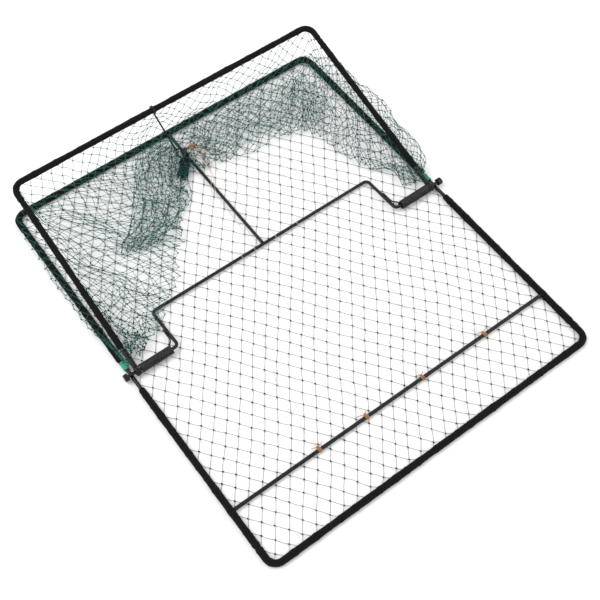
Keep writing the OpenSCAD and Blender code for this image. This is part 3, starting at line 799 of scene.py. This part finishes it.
for side_name in ("left", "right"):
    node = side_name + "_lashing"
    lo, hi = (np.array(c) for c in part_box(node))
    centre = (lo + hi) / 2
    outer_r = (hi[2] - lo[2]) / 2
    twine_r = 0.8 * MM
    turns = int((hi[1] - lo[1]) / (2 * twine_r))
    wound = winding(centre, "y", rod_d / 2 + twine_r, turns, 2 * twine_r * 0.98)
    green = ("base", "green_lashing", bright_green)
    twine(node + "_twine", wound, twine_r, node, *green)
    inward = -1 if centre[0] > 0 else 1
    over = [(inward * rod_d * 0.5, -5 * MM, 3 * MM), (0, -2 * MM, outer_r),
            (-inward * 1 * MM, 3 * MM, outer_r + 0.4 * MM), (inward * 4 * MM, 6 * MM, 2.5 * MM)]
    over = [centre + np.array(p) for p in over]
    twine(node + "_cross_turn", smooth_path(over, 8), twine_r, None, *green)
    end = [(inward * 3.5, 2, 2), (inward * 7, 5, 1), (inward * 10, 3, -1.2), (inward * 13, 7, -1.8)]
    end = [centre + np.array([x * MM, y * MM, z * MM]) for x, y, z in end]
    twine(node + "_cut_end", smooth_path(end, 8), twine_r * 0.9, None, *green)
    knot = overhand(centre + np.array([inward * 3.4 * MM, -1 * MM, 3.2 * MM]), 2.2 * MM, 2)
    twine(node + "_knot", knot, twine_r, None, *green)

for number in range(1, 5):
    node = f"line_tie_{number}"
    lo, hi = (np.array(c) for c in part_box(node))
    bar_lo, bar_hi = (np.array(c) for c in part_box("cross_bar"))
    centre = np.array([(lo[0] + hi[0]) / 2, (bar_lo[1] + bar_hi[1]) / 2, rod_z])
    twine_r = 0.55 * MM
    wound = winding(centre, "x", rod_d / 2 + twine_r, 3.5, 1.25 * MM)
    orange = ("base", "orange_twine", orange_twine)
    twine(node + "_turns", wound, twine_r, node, *orange)
    knot = overhand(centre + np.array([0, 3.6 * MM, 1.2 * MM]), 1.6 * MM, number)
    twine(node + "_knot", knot, twine_r, None, *orange)
    for k, lean in enumerate((-1, 1)):
        reach = (4 + 2.5 * ((number + k) % 3)) * MM
        tail = [centre + np.array([0, 3.5 * MM, 1.5 * MM]),
                centre + np.array([lean * reach * 0.6, 5 * MM, 2.2 * MM]),
                centre + np.array([lean * reach * 1.1, 7.5 * MM, -1.4 * MM])]
        twine(f"{node}_tail_{k}", smooth_path(tail, 6), twine_r * 0.8, None, *orange, sides=6)

lo, hi = (np.array(c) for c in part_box("catch_whipping"))
joints = {joint["name"]: joint for joint in frame["record"]["behaviour"]["joints"]}
pivot = joints["catch_tilt"]["pos_m"]
stub = np.array([(lo[0] + hi[0]) / 2 - 0.8 * MM, pivot[1], pivot[2]])
turns = int((hi[0] - lo[0]) / (1.1 * MM)) - 1
orange = ("orange_twine", orange_twine)
wound = winding(stub, "x", 1.3 * MM + 0.6 * MM, turns, 1.1 * MM)
twine("catch_twine", wound, 0.6 * MM, "catch_whipping", "catch", *orange)
tip = np.array([hi[0] - 3 * MM, pivot[1], pivot[2]])
twine("catch_twine_knot", overhand(tip, 2.4 * MM, 1), 0.6 * MM, None, "catch", *orange)
CORD_POINTS = [(15, 256, 14.4), (16, 253.6, 15), (17, 251, 13.6), (17.2, 248.6, 11), (17, 246, 9.4)]
cord_path = smooth_path(np.array(CORD_POINTS) * MM, 8)
twine("trip_cord_twine", cord_path, 0.55 * MM, "trip_cord", "base", *orange)
knot_at = np.array([17, 243.6, 8]) * MM
twine("line_knot_twine", overhand(knot_at, 2.0 * MM, 3), 0.6 * MM, "line_knot", "base", *orange)
FRAYS = [
    [(16, 243, 8), (22, 246, 9), (29, 250, 6), (36, 243, 4), (41, 230, 3), (44, 224, 2.4)],
    [(17, 243, 8), (18, 238, 4), (15, 228, 3), (17, 216, 2.4)],
    [(17, 244, 8), (25, 252, 8), (33, 254, 5), (38, 246, 3)],
    [(18, 242, 7), (22, 234, 4), (19, 224, 3), (12, 214, 2.4)],
]
for number, points in enumerate(FRAYS):
    path = smooth_path(np.array(points) * MM, 8)
    twine(f"loose_twine_{number}", path, 0.38 * MM, None, "base", *orange, sides=6)
print("twine wound")

# %% [markdown]
# Beside the catch the end of the slack net is bunched into a dark tuft, with a few meshes
# pulled over it. It is many short loops of thread, packed close.

# %% Bunched net by the catch
lo, hi = (np.array(c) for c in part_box("gathered_net"))
centre = (lo + hi) / 2
loops = []
lean = np.array([0.66, 0.75, 0.0])
LOOP_COUNT, LOOP_POINTS = 260, 14
for k in range(LOOP_COUNT):
    t = np.linspace(0, 2 * np.pi * 0.8, LOOP_POINTS)
    tilt, spin = rng.uniform(0, np.pi), rng.uniform(0, 2 * np.pi)
    size = rng.uniform(0.25, 0.75)
    ring = np.stack([np.cos(t), np.sin(t) * math.cos(tilt), np.sin(t) * math.sin(tilt)], axis=1)
    turned = np.stack([ring[:, 0] * math.cos(spin) - ring[:, 1] * math.sin(spin),
                       ring[:, 0] * math.sin(spin) + ring[:, 1] * math.cos(spin), ring[:, 2]], axis=1)
    along = rng.uniform(-14, 15) * MM * lean
    loops.append(centre + along + turned * 6.5 * MM * size * np.array([1.2, 1.2, 0.9])
                 + rng.normal(0, 1.6 * MM, 3) * np.array([1, 1, 0.5]))
loops = np.array(loops)
loops[..., 2] = np.maximum(loops[..., 2], 2 * MM)
points, faces = sweep(loops, 0.5 * MM, 6)
closed = capped(points, faces, len(loops), LOOP_POINTS, 6)
dress(mesh_piece("bunched_net", points, closed, knot_dark), "gathered_net", "base")
print("bunched net:", len(loops), "loops")

# %% [markdown]
# The floor is plain and pale, with two large soft lamps and an even surround, as in a studio.

# %% Floor and light
floor_mesh = bpy.data.meshes.new("floor")
floor_mesh.from_pydata([(-6, -6, 0), (6, -6, 0), (6, 6, 0), (-6, 6, 0)], [], [(0, 1, 2, 3)])
floor = bpy.data.objects.new("floor", floor_mesh)
bpy.context.scene.collection.objects.link(floor)
floor.location.z = -0.0005
pale = bpy.data.materials.new("pale_floor")
pale.use_nodes = True
pale.node_tree.nodes["Principled BSDF"].inputs["Base Color"].default_value = (0.9, 0.9, 0.9, 1)
pale.node_tree.nodes["Principled BSDF"].inputs["Roughness"].default_value = 0.9
floor_mesh.materials.append(pale)
world = bpy.data.worlds.new("studio")
bpy.context.scene.world = world
world.use_nodes = True
world.node_tree.nodes["Background"].inputs["Color"].default_value = (1, 1, 1, 1)
world.node_tree.nodes["Background"].inputs["Strength"].default_value = 0.85
LAMPS = (("key", (-1.2, 0.6, 2.2), 1.6, 34), ("fill", (1.6, -1.2, 1.8), 1.8, 16))
for name, place_at, size, power in LAMPS:
    lamp_data = bpy.data.lights.new(name, "AREA")
    lamp_data.size = size
    lamp_data.energy = power
    lamp = bpy.data.objects.new(name, lamp_data)
    lamp.location = place_at
    lamp.rotation_euler = (-Vector(place_at)).to_track_quat("-Z", "Y").to_euler()
    bpy.context.scene.collection.objects.link(lamp)
bpy.context.scene.view_settings.view_transform = "Standard"
print("studio set")
